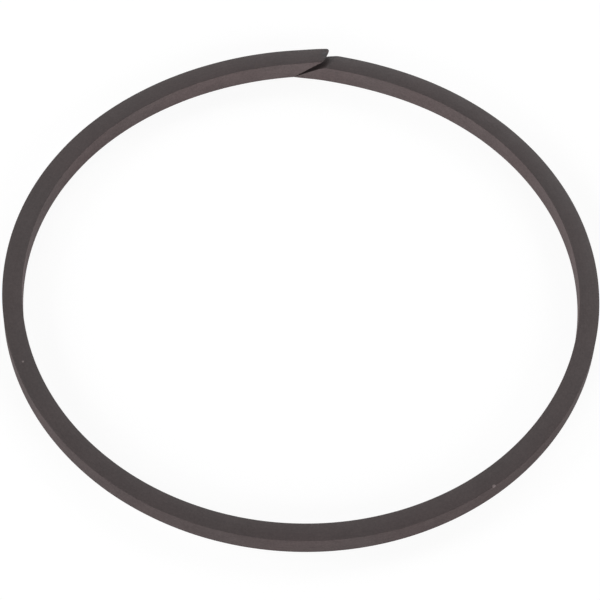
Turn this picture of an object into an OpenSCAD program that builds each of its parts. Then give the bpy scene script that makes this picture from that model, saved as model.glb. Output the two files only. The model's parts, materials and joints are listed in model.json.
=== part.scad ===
// Split sealing ring of square section with a scarf-cut joint, in its free state.
// It is one turned piece that is cut through once. Both ends have sprung a little straighter,
// and the upper end has climbed onto the lower one.
// The origin is on the ring's axis, in the plane of the lower side face. +Z is up and the joint
// is centred on +Y.

/* [Ring] */
// Outer diameter of the round stretch
outer_d = 70; // [40:0.5:120]
// Radial thickness of the section
radial_t = 2.35; // [1.6:0.05:4]
// Axial height of the section
axial_h = 2.4; // [1.6:0.05:4]
// Chamfer on the four long edges
edge_break = 0.1; // [0.02:0.01:0.3]

/* [Scarf joint] */
// Slope of the two cut faces against the side faces, in degrees
scarf_slope = 35; // [30:1:60]
// Turn of the cut away from the radius, seen from above, in degrees
scarf_skew = 21; // [0:1:30]
// Gap left between the two cut faces
joint_gap = 0.2; // [0.1:0.05:0.6]

/* [Lower free end] */
// How far it stands out past the round at the joint
lower_out = 0.75; // [0.1:0.05:1.2]
// How late it bends outwards: 2 is an even bend, more is a bend close to the joint
lower_onset = 4.5; // [2:0.1:6]

/* [Upper free end] */
// How far it stands out past the round at the joint
upper_out = 0.75; // [0.1:0.05:1.2]
// How late it bends outwards: 2 is an even bend, more is a bend close to the joint
upper_onset = 2.3; // [2:0.1:6]
// How far it is lifted at the joint
upper_rise = 0.3; // [0.2:0.05:1]
// Roll of its section at the joint, which tips the top face outwards, in degrees
upper_roll = 3.5; // [0:0.5:6]

/* [Hidden] */
$fn = 180;

outer_r = outer_d / 2;
mid_r = outer_r - radial_t / 2;

// Three quarters of the ring are round, and the two ends share the last quarter
round_arc = 270;
end_arc = (360 - round_arc) / 2;
end_run = mid_r * end_arc * PI / 180;

// Length of the cut along the ring, and how far past the joint an end runs before it is cut
cut_length = axial_h / tan(scarf_slope) + radial_t * tan(scarf_skew);
trim_arc = 0.75 * cut_length / mid_r * 180 / PI;

// The free ends are swept in short steps of this many degrees
sweep_step = 1.5;
sweep_rings = ceil((end_arc + trim_arc) / sweep_step);

// Outline of the section about its middle, x outwards and y up
half_t = radial_t / 2;
half_h = axial_h / 2;
section = [
    [half_t - edge_break, -half_h],
    [half_t, edge_break - half_h],
    [half_t, half_h - edge_break],
    [half_t - edge_break, half_h],
    [edge_break - half_t, half_h],
    [-half_t, half_h - edge_break],
    [-half_t, edge_break - half_h],
    [edge_break - half_t, -half_h]
];

// A point of the section on a free end, which is rolled about its outer bottom edge.
// The turn is 1 for an end that sweeps anticlockwise and -1 for one that sweeps clockwise.
function end_point(point, arc, turn, out, onset, rise, roll) =
    let (
        share = arc / end_arc,
        tip = roll * pow(share, 2),
        across = point[0] - half_t,
        up = point[1] + half_h,
        radius = outer_r + out * pow(share, onset) + across * cos(tip) + up * sin(tip),
        height = rise * pow(share, 2) - across * sin(tip) + up * cos(tip)
    )
    [radius * cos(arc), turn * radius * sin(arc), height];

module round_stretch() {
    rotate_extrude(angle = round_arc)
        translate([mid_r, half_h])
            polygon(section);
}

// A free end that starts on the +X axis and runs on past the joint
module end_sweep(turn, out, onset, rise, roll) {
    sides = len(section);
    points = [
        for (ring = [0 : sweep_rings], point = section)
            end_point(point, ring * sweep_step, turn, out, onset, rise, roll)
    ];
    walls = [
        for (ring = [0 : sweep_rings - 1], side = [0 : sides - 1])
            let (
                here = ring * sides,
                ahead = here + sides,
                next = (side + 1) % sides
            )
            each [
                [here + side, ahead + next, here + next],
                [here + side, ahead + side, ahead + next]
            ]
    ];
    start_cap = [for (side = [0 : sides - 1]) side];
    end_cap = [for (side = [sides - 1 : -1 : 0]) sweep_rings * sides + side];
    faces = concat(walls, [start_cap, end_cap]);
    reversed = [for (face = faces) [for (i = [len(face) - 1 : -1 : 0]) face[i]]];
    polyhedron(points, turn < 0 ? faces : reversed);
}

// A block with one face on the plane of the scarf cut, above it or below it.
// The plane passes through the origin, with y outwards, and rises towards +X.
module scarf_block(above) {
    size = 4 * cut_length;
    rotate([0, 0, -scarf_skew])
        rotate([0, -scarf_slope, 0])
            translate([-size / 2, -size / 2, above ? -joint_gap / 2 : joint_gap / 2 - size])
                cube(size);
}

// A free end, cut so that the material above the scarf or below it is gone
module free_end(turn, out, onset, rise, roll, cut_above) {
    pitch = atan(2 * rise / end_run);
    difference() {
        end_sweep(turn, out, onset, rise, roll);
        rotate([0, 0, turn * end_arc - 90])
            translate([0, mid_r + out, half_h + rise])
                rotate([-roll, -pitch, 0])
                    scarf_block(cut_above);
    }
}

module lower_end() {
    rotate([0, 0, round_arc])
        free_end(1, lower_out, lower_onset, 0, 0, true);
}

module upper_end() {
    free_end(-1, upper_out, upper_onset, upper_rise, upper_roll, false);
}

module sealing_ring() {
    color("dimgray")
        rotate([0, 0, 90 + end_arc])
            union() {
                round_stretch();
                lower_end();
                upper_end();
            }
}

sealing_ring();
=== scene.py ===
"""Split sealing ring of square section with a scarf-cut joint, lying flat on a pale floor.

The detailed ring is one swept mesh. It follows the CAD ring's own rules: a round stretch and two
free ends that have sprung a little straighter, cut apart by a sloping and skewed plane. It adds
what the CAD leaves out: softened edges, a slightly crowned top face, a slight lean of the section,
a blunt upper tip, a worn lower corner and the matt, mottled finish.

Lengths are in millimetres until the mesh is made. Arc angles are in degrees, clockwise from the
joint as seen from above, so the lower free end starts near 0 and the upper one ends near 360.
"""

import json
import math

import bpy
from mathutils import Matrix, Vector, noise


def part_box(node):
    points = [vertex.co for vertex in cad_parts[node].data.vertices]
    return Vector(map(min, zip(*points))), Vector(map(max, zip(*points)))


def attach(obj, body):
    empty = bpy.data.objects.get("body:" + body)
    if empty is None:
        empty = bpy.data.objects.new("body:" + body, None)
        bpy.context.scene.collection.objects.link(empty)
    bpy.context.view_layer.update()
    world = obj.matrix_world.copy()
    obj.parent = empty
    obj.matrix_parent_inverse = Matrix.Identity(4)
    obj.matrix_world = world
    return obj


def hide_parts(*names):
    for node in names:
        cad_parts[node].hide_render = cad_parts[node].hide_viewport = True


MM = 0.001

# Section
AXIAL_H = 2.4
EDGE_RADIUS = 0.06
EDGE_VARIATION = 0.02
EDGE_VARIATION_SCALE = 9
MIN_EDGE_RADIUS = 0.004
CROWN = 0.1
CORNER_STEPS = 5
SIDE_SHARES = (0.03, 0.08, 0.15, 0.25, 0.37, 0.5, 0.63, 0.75, 0.85, 0.92, 0.97)

# Free ends
END_ARC = 45.0
LOWER_OUT = 0.75
LOWER_ONSET = 4.5
TOE_TUCK = 0.14
TOE_ARC = 3.0
UPPER_OUT = 0.75
UPPER_ONSET = 2.3
UPPER_RISE = 0.3
UPPER_ROLL = 2.5

# Scarf cut. The gap grows from FOOT_GAP at the foot to JOINT_GAP at the top. Both are measured
# before the upper end rises, which opens the joint: its nearest points are then 0.11 mm apart.
SCARF_SLOPE = 35.0
SCARF_SKEW = 21.0
JOINT_GAP = 0.2
FOOT_GAP = -0.07
GAP_GROWTH = 0.85
CUT_EDGE_RADIUS = 0.05
RAMP_ROUND = 0.85
RAMP_ROUND_TILT = 0.6
CUT_SEARCH_ARC = 10.0
CUT_SEARCH_STEPS = 40
CUT_ROUGHNESS = 0.015
CUT_ROUGHNESS_SCALE = 3
CAP_INSETS = (0.12, 0.2, 0.3, 0.45, 0.7, 0.95, 1.1)

# Wear at the ends: softer edges, a blunt nose on the upper tip, which also flicks outward a
# little, and a worn outer corner on the lower end.
END_EDGE_RADIUS = 0.09
END_EDGE_ARC = 5.0
NOSE_DEPTH = 0.42
NOSE_SHARPNESS = 6
TIP_FLICK = 0.14
TIP_FLICK_START = 357.0
TIP_FLICK_ARC = 6.5
CORNER_WEAR = 0.26
CORNER_WEAR_SHARPNESS = 5
WEAR_ARC = 6.0
WEAR_FADE = 1.5

# The section leans a little all the way round, which tips the top face outward, in degrees.
RING_ROLL = 1.0

# Pale specks of filler, each as arc angle, place across and up the section (-1 to 1) and radius.
SPECKS = ((139.5, 1.0, 0.97, 0.27), (248.5, 0.15, 1.07, 0.17))
SPECK_COLOUR = (0.19, 0.155, 0.155)
SPECK_SHARPNESS = 9000.0

SWEEP_RINGS = 900

# Scuffs on the top face near the joint. The arcs and the places across and up the section, from
# -1 to 1, are where the scuffs fade in and where they are whole.
SCUFF_UP = (0.5, 0.95)
NOSE_SCUFF_ARCS = (361.4, 363.2)
NOSE_SCUFF_ACROSS = (-0.9, -0.2)
LOWER_SCUFF = 0.35
LOWER_SCUFF_ARCS = (4.0, 11.0)
LOWER_SCUFF_ACROSS = (0.1, 0.6)
SCUFF_COLOUR = (0.062, 0.063, 0.067)
SCUFF_HEIGHT = 3.0
PATCH_GAIN = 4.0
PATCH_LEVEL = 1.55

# Colour of the polymer, which drifts between two tones and between warm and cool.
DARK = (0.0465, 0.0365, 0.0365)
LIGHT = (0.0535, 0.042, 0.042)
WARMTH = ((0.35, (0.99, 1.0, 1.0)), (0.65, (1.02, 0.99, 0.99)))

# Sizes of the noise patterns: a larger number is a finer pattern.
TONE_SCALE = 300
WARMTH_SCALE = 90
SPECKLE_SCALE = 4200
STREAK_SCALE = 5200
PIT_SCALE = 1500
PATCH_SCALE = 1700
ROUGHNESS_SCALE = 900
GRAIN_SCALE = 3600
STREAK_GRAIN_SCALE = 6000

# Streaks are stretched along the ring: metres of pattern for each radian of turn.
STREAK_STRETCH = 0.0025

# Gloss and grain. The grain is BUMP_DEPTH deep.
ROUGHNESS_SPREAD = 0.16
POLYMER_IOR = 1.35
BUMP_STRENGTH = 0.35
BUMP_DEPTH = 0.02

# Finish of each surface: how light it is, how it reflects and how rough it is. How light the walls
# are is painted light:
# their colour is made lighter than the top face's, the inner wall's most, to stand in for the light
# that falls on them.
# The walls are what lies further across the section than WALL_FROM, where 1 is the section's very
# side.
WALL_FROM = 0.97
FACE = {"painted_light_tone": (1.0, 1.0, 1.0), "specular": 0.5, "roughness": 0.5}
OUTER_WALL_WITH_PAINTED_LIGHT = {"painted_light_tone": (1.43, 1.46, 1.46), "specular": 0.22, "roughness": 0.72}
INNER_WALL_WITH_PAINTED_LIGHT = {"painted_light_tone": (2.0, 2.04, 2.04), "specular": 0.22, "roughness": 0.72}

# Camera
CAMERA_ELEVATION = 54.4
CAMERA_ROLL = 2.5
CAMERA_DISTANCE = 406.0
CAMERA_TARGET = (-0.08, -0.25, 0.0)
CAMERA_LENS = 206.6
CAMERA_SENSOR = 36
CAMERA_CLIP = 10.0

# Floor: half its side in metres, its grey for light that bounces, and for direct views a darker
# grey and a glow, which make it white with a faint shadow.
FLOOR_HALF = 0.5
FLOOR_GREY = (0.8, 0.8, 0.8)
FLOOR_SEEN_GREY = (0.15, 0.15, 0.15)
FLOOR_GLOW = 0.9

# Soft lamps, each as name, azimuth, elevation, distance, size and power.
# Azimuth 0 is the camera's side and 90 is +X. Distances and sizes are in metres.
LAMPS = (
    ("front_left", -30, 15, 0.8, 0.4, 4.5),
    ("front_right", 50, 15, 0.8, 0.4, 4.0),
    ("left", -100, 20, 0.8, 0.4, 3.5),
    ("back", 180, 30, 0.8, 0.5, 1.5),
    ("back_right", 145, 20, 0.8, 0.4, 3.0),
)


# ---------------------------------------------------------------- the ring's shape

def free_end_share(arc):
    """0 on the round stretch, rising to 1 at the joint, and the end's name."""
    if arc < END_ARC:
        return (END_ARC - arc) / END_ARC, "lower"
    if arc > 360 - END_ARC:
        return (arc - 360 + END_ARC) / END_ARC, "upper"
    return 0.0, "round"


def smooth(value, low, high):
    """0 up to low, 1 from high, and a smooth rise between."""
    share = min(1.0, max(0.0, (value - low) / (high - low)))
    return share * share * (3 - 2 * share)


def path(arc, ring):
    """Outer radius, height of the foot and roll of the section at an arc angle."""
    share, end = free_end_share(arc)
    radius = ring["outer_r"]
    roll = math.radians(RING_ROLL)
    foot = 0.0
    if end == "lower":
        radius += LOWER_OUT * share ** LOWER_ONSET
        radius -= TOE_TUCK * smooth(-arc, -TOE_ARC, TOE_ARC)
    if end == "upper":
        radius += UPPER_OUT * share ** UPPER_ONSET
        radius += TIP_FLICK * smooth(arc, TIP_FLICK_START, TIP_FLICK_START + TIP_FLICK_ARC)
        roll += math.radians(UPPER_ROLL * share ** 2)
        foot = UPPER_RISE * share ** 2
    foot += 2 * ring["half_t"] * max(0.0, -math.sin(roll))
    return radius, foot, roll


def ring_point(arc, across, up, ring):
    """Place of a section point, given from the section's middle, at an arc angle."""
    share, end = free_end_share(arc)
    if end == "lower" and arc < WEAR_ARC and across > 0 and up > 0:
        corner = (across / ring["half_t"] * up / ring["half_h"]) ** CORNER_WEAR_SHARPNESS
        worn = CORNER_WEAR * corner * ((WEAR_ARC - arc) / WEAR_ARC) ** WEAR_FADE
        across -= worn
        up -= worn
    outer, foot, roll = path(arc, ring)
    a = across - ring["half_t"]
    u = up + ring["half_h"]
    radius = outer + a * math.cos(roll) + u * math.sin(roll)
    height = foot - a * math.sin(roll) + u * math.cos(roll)
    turn = math.radians(arc)
    return Vector((radius * math.sin(turn), radius * math.cos(turn), height))


def section_outline(ring, inset=0.0, edge_r=EDGE_RADIUS):
    """Outline of the section from its middle, up the outer wall and round to the outer bottom
    corner. Every outline has the same number of points, whatever its inset."""
    half_t = ring["half_t"] - inset
    half_h = ring["half_h"] - inset
    r = max(edge_r - inset, MIN_EDGE_RADIUS)
    corners = ((1, 1), (-1, 1), (-1, -1), (1, -1))
    points = []
    for index, (sx, sy) in enumerate(corners):
        centre = (sx * (half_t - r), sy * (half_h - r))
        for step in range(CORNER_STEPS + 1):
            angle = math.radians(90 * (index + step / CORNER_STEPS))
            points.append((centre[0] + r * math.cos(angle), centre[1] + r * math.sin(angle)))
        ahead = corners[(index + 1) % 4]
        start = points[-1]
        end_angle = math.radians(90 * (index + 1))
        end = (ahead[0] * (half_t - r) + r * math.cos(end_angle),
               ahead[1] * (half_h - r) + r * math.sin(end_angle))
        for share in SIDE_SHARES:
            points.append((start[0] + (end[0] - start[0]) * share,
                           start[1] + (end[1] - start[1]) * share))
    return [crowned(point, ring) for point in points]


def crowned(point, ring):
    """The top face rises a little from its edges to its middle."""
    across, up = point
    share = max(0.0, up / ring["half_h"])
    return across, up + CROWN * share * (1 - (across / ring["half_t"]) ** 2)


def depth_below_top(point, ring):
    across, up = point
    return max(0.0, ring["half_h"] + CROWN * (1 - (across / ring["half_t"]) ** 2) - up)


def scarf_plane(end, ring):
    """A point midway in the gap at an end and the cut plane's normal, which points up."""
    upper = end == "upper"
    out = UPPER_OUT if upper else LOWER_OUT
    rise = UPPER_RISE if upper else 0.0
    roll = math.radians(UPPER_ROLL if upper else 0.0)
    end_run = (ring["outer_r"] - ring["half_t"]) * math.radians(END_ARC)
    pitch = math.atan(2 * rise / end_run)
    skew = Matrix.Rotation(-math.radians(SCARF_SKEW), 3, "Z")
    slope = Matrix.Rotation(-math.radians(SCARF_SLOPE), 3, "Y")
    lean = Matrix.Rotation(-pitch, 3, "Y") @ Matrix.Rotation(-roll, 3, "X")
    normal = lean @ skew @ slope @ Vector((0, 0, 1))
    return Vector((0, ring["outer_r"] - ring["half_t"] + out, ring["half_h"] + rise)), normal


def cut_arc(point, end, ring):
    """Arc angle at which the line of a section point is cut, by bisection."""
    middle, normal = scarf_plane(end, ring)
    base = 360.0 if end == "upper" else 0.0
    height_share = (point[1] / ring["half_h"] + 1) / 2
    gap = FOOT_GAP + (JOINT_GAP - FOOT_GAP) * height_share ** GAP_GROWTH
    level = gap / 2 if base else -gap / 2
    low, high = base - CUT_SEARCH_ARC, base + CUT_SEARCH_ARC
    for _ in range(CUT_SEARCH_STEPS):
        arc = (low + high) / 2
        above = (ring_point(arc, *point, ring) - middle).dot(normal) > level
        low, high = (arc, high) if above else (low, arc)
    if end == "lower":
        ramp_r = RAMP_ROUND * (1 + RAMP_ROUND_TILT * point[0] / ring["half_t"])
        short = max(ramp_r - depth_below_top(point, ring), 0.0)
        back = ramp_r - math.sqrt(ramp_r ** 2 - short ** 2)
        arc += math.degrees(back / ring["outer_r"])
    place = Vector((point[0] * CUT_ROUGHNESS_SCALE, point[1] * CUT_ROUGHNESS_SCALE, base))
    arc += math.degrees(noise.noise(place) * CUT_ROUGHNESS / ring["outer_r"])
    if end == "upper" and point[0] > 0 and point[1] > 0:
        corner = (point[0] / ring["half_t"] * point[1] / ring["half_h"]) ** NOSE_SHARPNESS
        arc -= math.degrees(NOSE_DEPTH * corner / ring["outer_r"])
    return arc


def cap_outline(inset, end, ring):
    """Ring of points on a cut face, at an inset from its slightly rounded edge."""
    cap = []
    for point in section_outline(ring, inset, END_EDGE_RADIUS):
        short = max(CUT_EDGE_RADIUS - inset, 0.0)
        back = CUT_EDGE_RADIUS - math.sqrt(CUT_EDGE_RADIUS ** 2 - short ** 2)
        sign = -1 if end == "upper" else 1
        arc = cut_arc(point, end, ring) + sign * math.degrees(back / ring["outer_r"])
        cap.append((arc, point))
    return cap


def sweep_edge_radius(share):
    """Radius of the long edges at a share of the way round, softer near the ends."""
    turn = math.radians(360 * share)
    place = Vector((math.cos(turn), math.sin(turn), 0.3)) * EDGE_VARIATION_SCALE
    wobble = EDGE_VARIATION * noise.noise(place)
    to_end = 360 * min(share, 1 - share)
    inner = smooth(to_end, 0.0, END_EDGE_ARC)
    return END_EDGE_RADIUS + (EDGE_RADIUS + wobble - END_EDGE_RADIUS) * inner


def ring_loops(ring):
    """Loops of (arc, across, up) from the middle of the lower cut face, all the way round and
    to the middle of the upper cut face."""
    insets = [CUT_EDGE_RADIUS * share for share in (0, 0.1, 0.3, 0.6, 1)] + list(CAP_INSETS)
    lower_caps = [cap_outline(inset, "lower", ring) for inset in insets]
    upper_caps = [cap_outline(inset, "upper", ring) for inset in insets]
    loops = [[(arc, *point) for arc, point in cap] for cap in reversed(lower_caps[1:])]
    for step in range(SWEEP_RINGS + 1):
        share = step / SWEEP_RINGS
        outline = section_outline(ring, 0.0, sweep_edge_radius(share))
        lines = zip(lower_caps[0], upper_caps[0], outline)
        loops.append([(low + (high - low) * share, *point) for (low, _), (high, _), point in lines])
    loops += [[(arc, *point) for arc, point in cap] for cap in upper_caps[1:]]
    return loops


def scuff(arc, across, up, ring):
    """How scuffed the surface is, 0 to 1: the upper tip's top face and the lower end's."""
    top = smooth(up / ring["half_h"], *SCUFF_UP)
    outer = across / ring["half_t"]
    if arc > 180:
        return top * smooth(arc, *NOSE_SCUFF_ARCS) * smooth(outer, *NOSE_SCUFF_ACROSS)
    fade = 1 - smooth(arc, *LOWER_SCUFF_ARCS)
    return LOWER_SCUFF * top * fade * smooth(outer, *LOWER_SCUFF_ACROSS)


def surface_index(corners, ring):
    """Which material a face takes from its corners: 0 for a face, 1 outer wall, 2 inner wall."""
    across = sum(across for _, across, _ in corners) / len(corners) / ring["half_t"]
    if across > WALL_FROM:
        return 1
    return 2 if across < -WALL_FROM else 0


def ring_mesh(ring):
    """Points in metres, faces, each face's material and how scuffed each point is."""
    loops = ring_loops(ring)
    sides = len(loops[0])
    points = [ring_point(*place, ring) * MM for loop in loops for place in loop]
    scuffs = [scuff(*place, ring) for loop in loops for place in loop]
    faces, surfaces = [], []
    for row in range(len(loops) - 1):
        for side in range(sides):
            here, ahead = row * sides, (row + 1) * sides
            after = (side + 1) % sides
            faces.append((here + side, here + after, ahead + after, ahead + side))
            corners = [loops[r][c] for r in (row, row + 1) for c in (side, after)]
            surfaces.append(surface_index(corners, ring))
    faces.append(tuple(range(sides - 1, -1, -1)))
    faces.append(tuple((len(loops) - 1) * sides + side for side in range(sides)))
    return points, faces, surfaces + [0, 0], scuffs


def make_ring(ring):
    points, faces, surfaces, scuffs = ring_mesh(ring)
    mesh = bpy.data.meshes.new("sealing_ring_detail")
    mesh.from_pydata(points, [], faces)
    mesh.update()
    mesh.attributes.new("scuff", "FLOAT", "POINT").data.foreach_set("value", scuffs)
    mesh.polygons.foreach_set("material_index", surfaces)
    mesh.shade_smooth()
    piece = bpy.data.objects.new("sealing_ring_detail", mesh)
    bpy.context.scene.collection.objects.link(piece)
    return piece


# ---------------------------------------------------------------- finish

class Nodes:
    """Short calls for building a node material."""

    def __init__(self, tree):
        self.tree = tree
        tree.nodes.clear()

    def add(self, kind, **settings):
        node = self.tree.nodes.new(kind)
        for name, value in settings.items():
            setattr(node, name, value)
        return node

    def link(self, output, target):
        self.tree.links.new(output, target)

    def math(self, operation, a, b=None):
        node = self.add("ShaderNodeMath", operation=operation)
        for socket, value in zip(node.inputs, (a, b)):
            if value is None:
                continue
            if isinstance(value, (int, float)):
                socket.default_value = value
            else:
                self.link(value, socket)
        return node.outputs[0]

    def distance(self, vector, point):
        node = self.add("ShaderNodeVectorMath", operation="DISTANCE")
        self.link(vector, node.inputs[0])
        node.inputs[1].default_value = point
        return node.outputs["Value"]

    def noise(self, vector, scale, detail=2.0, roughness=0.5):
        node = self.add("ShaderNodeTexNoise")
        node.inputs["Scale"].default_value = scale
        node.inputs["Detail"].default_value = detail
        node.inputs["Roughness"].default_value = roughness
        self.link(vector, node.inputs["Vector"])
        return node.outputs["Fac"]

    def ramp(self, value, stops):
        node = self.add("ShaderNodeValToRGB")
        while len(node.color_ramp.elements) < len(stops):
            node.color_ramp.elements.new(0.5)
        for element, (place, colour) in zip(node.color_ramp.elements, stops):
            element.position = place
            element.color = (*colour, 1)
        self.link(value, node.inputs["Fac"])
        return node.outputs["Color"]

    def mix(self, factor, a, b, blend="MIX"):
        node = self.add("ShaderNodeMix", data_type="RGBA", blend_type=blend)
        for name, value in (("Factor", factor), ("A", a), ("B", b)):
            kinds = ("VALUE",) if name == "Factor" else ("RGBA",)
            socket = next(s for s in node.inputs if s.name == name and s.type in kinds)
            if isinstance(value, (int, float)):
                socket.default_value = value
            elif isinstance(value, tuple):
                socket.default_value = (*value, 1)
            else:
                self.link(value, socket)
        return next(s for s in node.outputs if s.type == "RGBA")


def spread(low, high, amount):
    """Ramp stops that darken and lighten by the same amount."""
    return ((low, (1 - amount,) * 3), (high, (1 + amount,) * 3))


def along_ring(n, place):
    """Coordinates that follow the ring, for marks that run along it."""
    split = n.add("ShaderNodeSeparateXYZ")
    n.link(place, split.inputs[0])
    x, y, z = split.outputs
    radius = n.math("SQRT", n.math("ADD", n.math("MULTIPLY", x, x), n.math("MULTIPLY", y, y)))
    turn = n.math("MULTIPLY", n.math("ARCTAN2", y, x), STREAK_STRETCH)
    along = n.add("ShaderNodeCombineXYZ")
    for output, target in zip((radius, turn, z), along.inputs):
        n.link(output, target)
    return along.outputs[0]


def polymer_colour(n, place, along, painted_light_tone):
    """Base colour away from the scuffs: two tones, a drift of warmth, speckle and streaks,
    lightened on the walls by their finish, which is painted light.
    """
    # On the walls the finish's lightening is painted light, standing in for the light that falls on
    # them.
    tones = [tuple(c * k for c, k in zip(colour, painted_light_tone)) for colour in (DARK, LIGHT)]
    base = n.ramp(n.noise(place, TONE_SCALE, 3, 0.55), ((0.3, tones[0]), (0.7, tones[1])))
    warmth = n.ramp(n.noise(place, WARMTH_SCALE, 1), WARMTH)
    base = n.mix(1.0, base, warmth, "MULTIPLY")
    speckle = n.ramp(n.noise(place, SPECKLE_SCALE, 2, 0.7), spread(0.3, 0.7, 0.14))
    base = n.mix(1.0, base, speckle, "MULTIPLY")
    streaks = n.ramp(n.noise(along, STREAK_SCALE, 3, 0.6), spread(0.35, 0.65, 0.05))
    return n.mix(1.0, base, streaks, "MULTIPLY")


def with_scuffs(n, base, place):
    """The base colour with pits and pale patches where it is scuffed, and how pale each is."""
    scuffed = n.add("ShaderNodeAttribute", attribute_name="scuff").outputs["Fac"]
    pits = n.ramp(n.noise(place, PIT_SCALE, 2), spread(0.42, 0.58, 0.6))
    base = n.mix(scuffed, base, n.mix(1.0, base, pits, "MULTIPLY"))
    patches = n.math("MULTIPLY", n.noise(place, PATCH_SCALE, 3, 0.7), PATCH_GAIN)
    pale = n.math("MULTIPLY", scuffed, n.math("SUBTRACT", patches, PATCH_LEVEL))
    return n.mix(pale, base, SCUFF_COLOUR), pale


def with_specks(n, base, place, ring):
    for arc, across, up, size in SPECKS:
        centre = ring_point(arc, across * ring["half_t"], up * ring["half_h"], ring) * MM
        inside = n.math("SUBTRACT", size * MM, n.distance(place, centre))
        base = n.mix(n.math("MULTIPLY", inside, SPECK_SHARPNESS), base, SPECK_COLOUR)
    return base


def polymer_material(name, finish, ring):
    """Dark, matt filled polymer: mottled, finely speckled, with faint marks along the ring."""
    material = bpy.data.materials.new(name)
    material.use_nodes = True
    n = Nodes(material.node_tree)
    place = n.add("ShaderNodeTexCoord").outputs["Object"]
    along = along_ring(n, place)
    # The walls' lighter colour from their finish is painted light.
    base = polymer_colour(n, place, along, finish["painted_light_tone"])
    base, pale = with_scuffs(n, base, place)
    base = with_specks(n, base, place, ring)

    shader = n.add("ShaderNodeBsdfPrincipled")
    n.link(base, shader.inputs["Base Color"])
    shader.inputs["IOR"].default_value = POLYMER_IOR
    shader.inputs["Specular IOR Level"].default_value = finish["specular"]
    uneven = n.math("MULTIPLY", n.noise(place, ROUGHNESS_SCALE, 2), ROUGHNESS_SPREAD)
    n.link(n.math("ADD", finish["roughness"], uneven), shader.inputs["Roughness"])
    grain = n.noise(place, GRAIN_SCALE, 2, 0.6)
    height = n.math("ADD", grain, n.noise(along, STREAK_GRAIN_SCALE, 2))
    height = n.math("ADD", height, n.math("MULTIPLY", pale, SCUFF_HEIGHT))
    bump = n.add("ShaderNodeBump")
    bump.inputs["Strength"].default_value = BUMP_STRENGTH
    bump.inputs["Distance"].default_value = BUMP_DEPTH * MM
    n.link(height, bump.inputs["Height"])
    n.link(bump.outputs["Normal"], shader.inputs["Normal"])
    output = n.add("ShaderNodeOutputMaterial")
    n.link(shader.outputs["BSDF"], output.inputs["Surface"])
    return material


# ---------------------------------------------------------------- stage

def seen_directly(n):
    """1 for camera, glossy and transmission rays, so that gloss shows the white studio too."""
    rays = n.add("ShaderNodeLightPath")
    seen = n.math("MAXIMUM", rays.outputs["Is Camera Ray"], rays.outputs["Is Glossy Ray"])
    return n.math("MAXIMUM", seen, rays.outputs["Is Transmission Ray"])


def make_floor():
    """Pale floor that reads as white to the camera and keeps a faint shadow."""
    mesh = bpy.data.meshes.new("floor")
    half = FLOOR_HALF
    mesh.from_pydata([(-half, -half, 0), (half, -half, 0), (half, half, 0), (-half, half, 0)],
                     [], [(0, 1, 2, 3)])
    floor = bpy.data.objects.new("floor", mesh)
    bpy.context.scene.collection.objects.link(floor)
    material = bpy.data.materials.new("floor_white")
    material.use_nodes = True
    n = Nodes(material.node_tree)
    seen = seen_directly(n)
    diffuse = n.add("ShaderNodeBsdfDiffuse")
    n.link(n.mix(seen, FLOOR_GREY, FLOOR_SEEN_GREY), diffuse.inputs["Color"])
    glow = n.add("ShaderNodeEmission")
    n.link(n.math("MULTIPLY", seen, FLOOR_GLOW), glow.inputs["Strength"])
    both = n.add("ShaderNodeAddShader")
    n.link(diffuse.outputs[0], both.inputs[0])
    n.link(glow.outputs[0], both.inputs[1])
    output = n.add("ShaderNodeOutputMaterial")
    n.link(both.outputs[0], output.inputs["Surface"])
    mesh.materials.append(material)


def make_world():
    """White to direct views, and no light to anything else."""
    world = bpy.data.worlds.new("studio")
    bpy.context.scene.world = world
    world.use_nodes = True
    n = Nodes(world.node_tree)
    background = n.add("ShaderNodeBackground")
    background.inputs["Color"].default_value = (1, 1, 1, 1)
    n.link(seen_directly(n), background.inputs["Strength"])
    output = n.add("ShaderNodeOutputWorld")
    n.link(background.outputs[0], output.inputs["Surface"])


def make_lamp(name, azimuth, elevation, distance, size, power):
    """Square soft lamp aimed at the ring."""
    lamp = bpy.data.lights.new(name, "AREA")
    lamp.shape = "SQUARE"
    lamp.size = size
    lamp.energy = power
    holder = bpy.data.objects.new(name, lamp)
    a, e = math.radians(azimuth), math.radians(elevation)
    back = Vector((math.sin(a) * math.cos(e), -math.cos(a) * math.cos(e), math.sin(e)))
    holder.location = back * distance
    holder.rotation_mode = "QUATERNION"
    holder.rotation_quaternion = (-back).to_track_quat("-Z", "Y")
    bpy.context.scene.collection.objects.link(holder)


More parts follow.
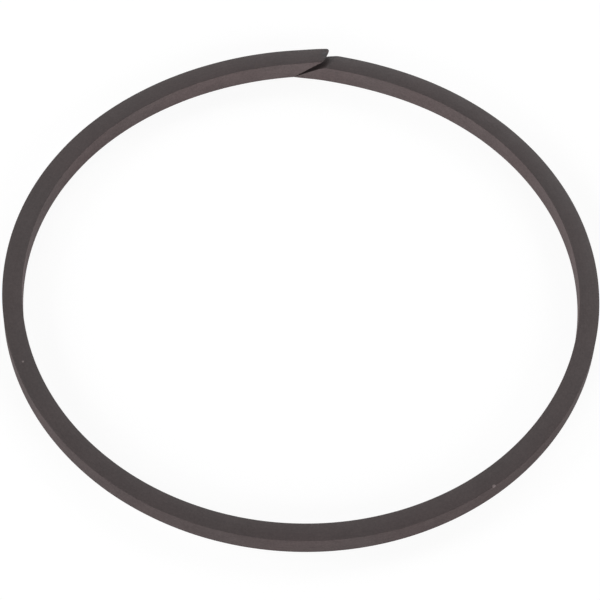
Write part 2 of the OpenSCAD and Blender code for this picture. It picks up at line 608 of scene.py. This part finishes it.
def make_camera():
    camera = bpy.data.cameras.new("camera")
    camera.lens = CAMERA_LENS
    camera.sensor_width = CAMERA_SENSOR
    camera.clip_start = CAMERA_CLIP * MM
    holder = bpy.data.objects.new("camera", camera)
    e = math.radians(CAMERA_ELEVATION)
    back = Vector((0, -math.cos(e), math.sin(e)))
    side = Vector((1, 0, 0))
    top = back.cross(side)
    roll = math.radians(CAMERA_ROLL)
    right = side * math.cos(roll) + top * math.sin(roll)
    up = top * math.cos(roll) - side * math.sin(roll)
    turn = Matrix((right, up, back)).transposed()
    place = (Vector(CAMERA_TARGET) + back * CAMERA_DISTANCE) * MM
    holder.matrix_world = Matrix.Translation(place) @ turn.to_4x4()
    bpy.context.scene.collection.objects.link(holder)
    bpy.context.scene.camera = holder


# ---------------------------------------------------------------- the scene

def ring_sizes(frame):
    """Driving sizes in millimetres, from the CAD ring's box and its bore."""
    low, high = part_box("sealing_ring")
    bore = next(m for m in frame["record"]["mounts"] if m["name"] == "bore")
    outer_r = (high[0] - low[0]) / 2 / MM
    radial_t = outer_r - bore["dims"]["r_mm"]
    return {"outer_r": outer_r, "half_t": radial_t / 2, "half_h": AXIAL_H / 2}


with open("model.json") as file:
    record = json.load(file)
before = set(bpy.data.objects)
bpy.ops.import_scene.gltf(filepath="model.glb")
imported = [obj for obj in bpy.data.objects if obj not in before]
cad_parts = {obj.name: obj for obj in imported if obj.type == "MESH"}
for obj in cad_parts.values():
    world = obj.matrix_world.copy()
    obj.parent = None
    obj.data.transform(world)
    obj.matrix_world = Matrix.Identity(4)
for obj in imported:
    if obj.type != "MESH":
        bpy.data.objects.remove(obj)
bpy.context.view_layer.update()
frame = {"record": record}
make_camera()

sizes = ring_sizes(frame)
ring_piece = make_ring(sizes)
# The two wall materials are lit copies of the top face's polymer: their lighter colour is painted
# light.
for name, finish in (("filled_polymer", FACE), ("filled_polymer_outer_painted_light", OUTER_WALL_WITH_PAINTED_LIGHT),
                     ("filled_polymer_inner_painted_light", INNER_WALL_WITH_PAINTED_LIGHT)):
    ring_piece.data.materials.append(polymer_material(name, finish, sizes))
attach(ring_piece, "root")
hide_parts("sealing_ring")

make_floor()
make_world()
for lamp_settings in LAMPS:
    make_lamp(*lamp_settings)

scene = bpy.context.scene
scene.view_settings.view_transform = "Standard"
